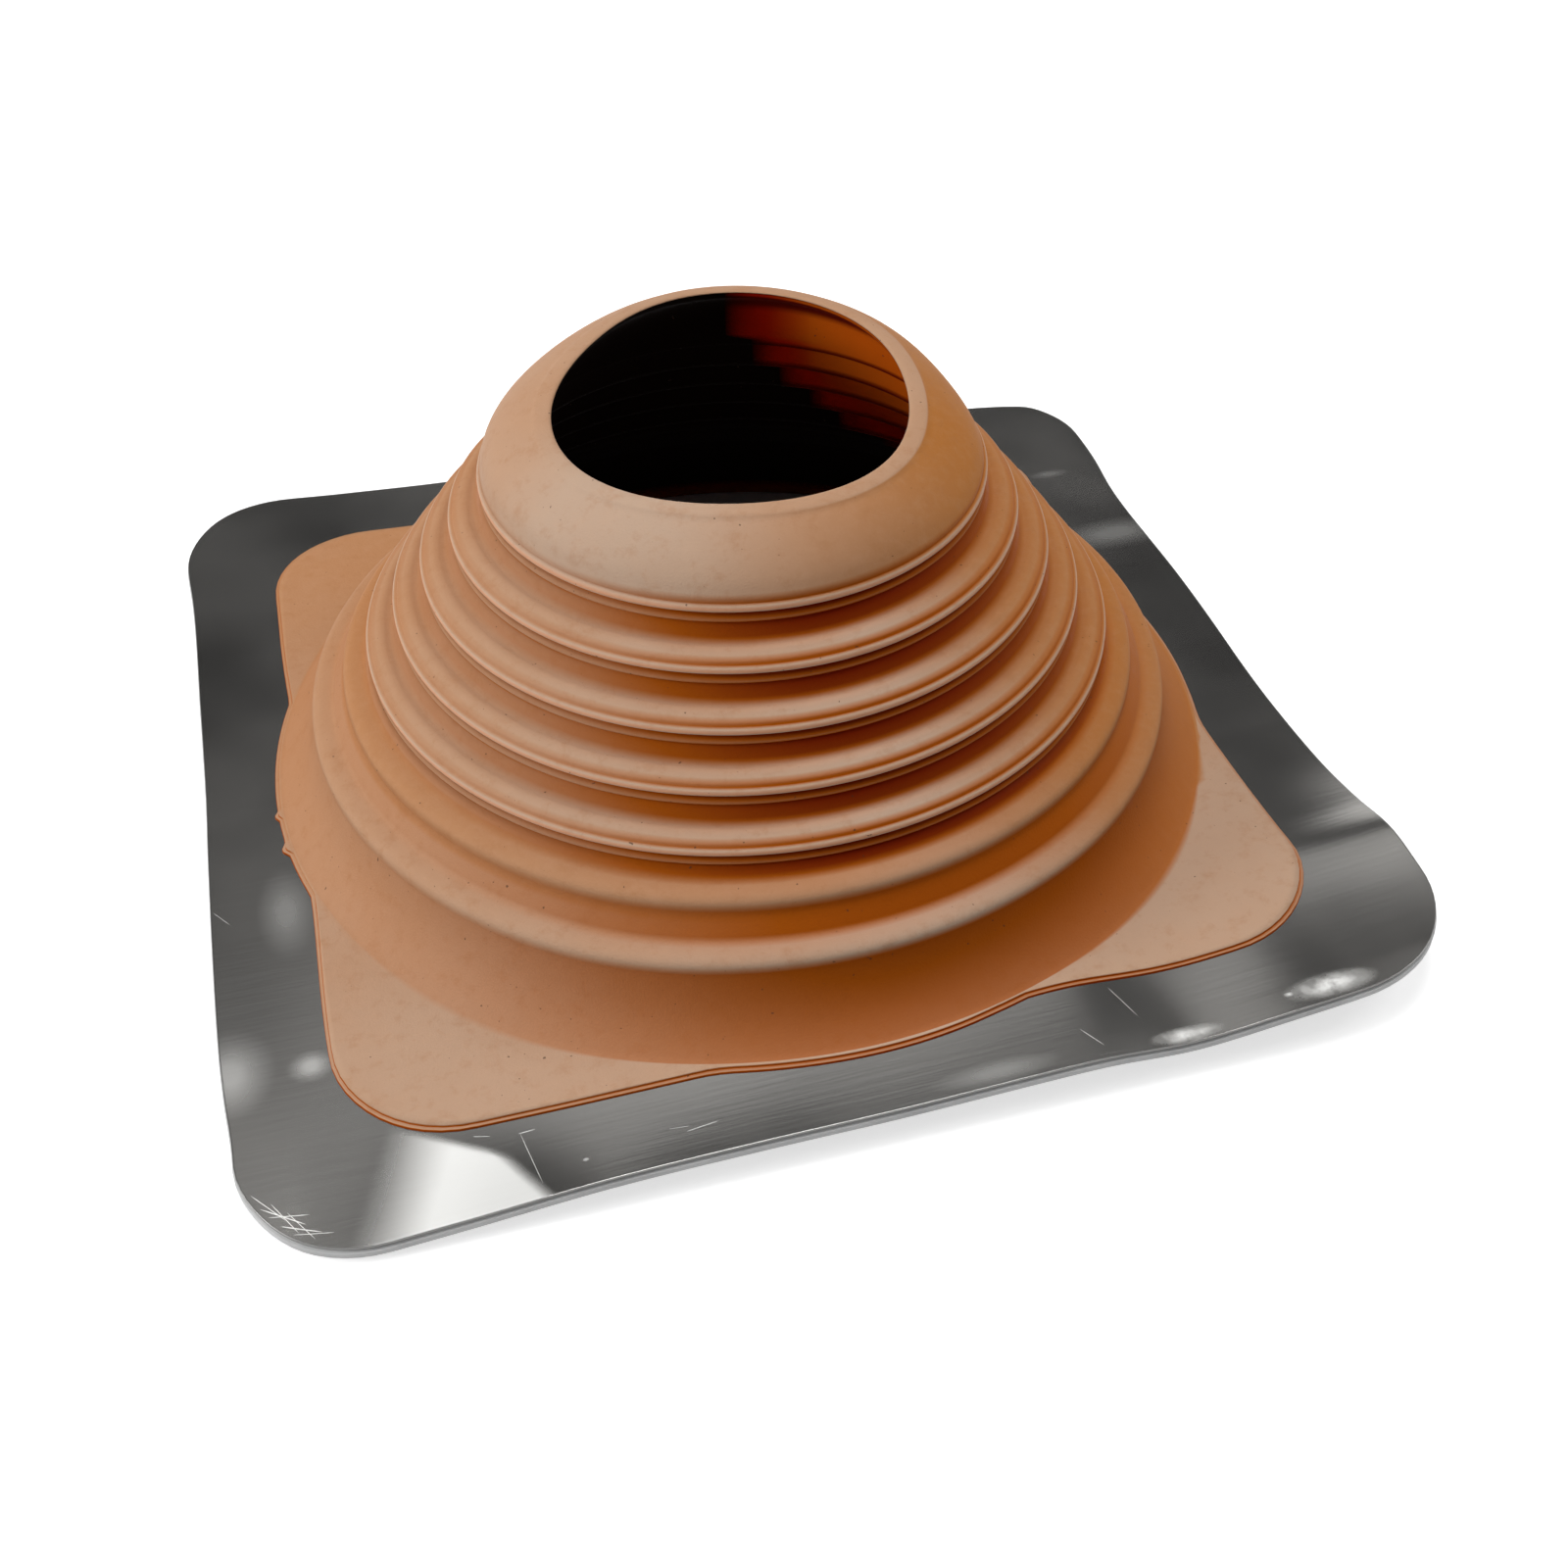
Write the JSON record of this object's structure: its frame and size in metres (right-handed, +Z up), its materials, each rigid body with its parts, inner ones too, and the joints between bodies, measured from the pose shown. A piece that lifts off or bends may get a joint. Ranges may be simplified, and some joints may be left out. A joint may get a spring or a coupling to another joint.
{
  "type": "pipe flashing boot",
  "caption": "Stepped rubber cone with trim beads on a square aluminium flange with a sealing gasket: seals the hole where a round pipe passes through a roof",
  "frame": {"origin": "on the pipe's axis, in the plane of the gasket's underside, which meets the roof", "axes": "+Z up along the pipe, away from the roof; X and Y along the sides of the square base"},
  "size_m": [0.356, 0.356, 0.13],
  "materials": {
    "boot_rubber": "matt moulded terracotta rubber",
    "flange_sheet": "mill finish sheet, scratched",
    "gasket_rubber": "matt grey sheet rubber"
  },
  "bodies": {
    "root": {"rubber_boot": "boot_rubber", "aluminium_flange": "flange_sheet", "base_gasket": "gasket_rubber"}
  },
  "joints": []
}
